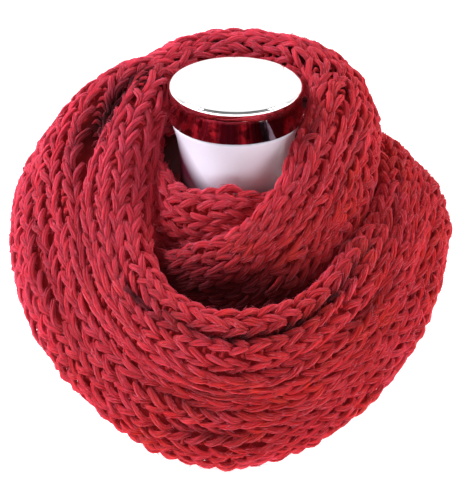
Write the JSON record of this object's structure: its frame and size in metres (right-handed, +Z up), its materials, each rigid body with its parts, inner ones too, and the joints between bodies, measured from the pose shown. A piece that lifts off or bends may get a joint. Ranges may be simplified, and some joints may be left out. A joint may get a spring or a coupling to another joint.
{
  "type": "infinity scarf on neck display form",
  "caption": "Chunky ribbed knit infinity scarf wound twice round a limbless neck display form with a metal cap.",
  "frame": {"origin": "centre of the form's flat base, on the floor under the neck's axis", "axes": "+Z up along the neck, -Y towards the front where the scarf hangs lowest, +X to the right seen from the front"},
  "size_m": [0.373, 0.317, 0.3115],
  "materials": {
    "red_knit": "soft fuzzy knit, matt with a pinkish sheen",
    "white_form": "smooth satin white",
    "chrome_cap": "polished, mirror bright"
  },
  "bodies": {
    "root": {"outer_wrap": "red_knit", "inner_right_wrap": "red_knit", "inner_left_wrap": "red_knit", "back_upper_wrap": "red_knit", "back_lower_wrap": "red_knit", "form_body": "white_form", "neck_cap": "chrome_cap"}
  },
  "joints": []
}
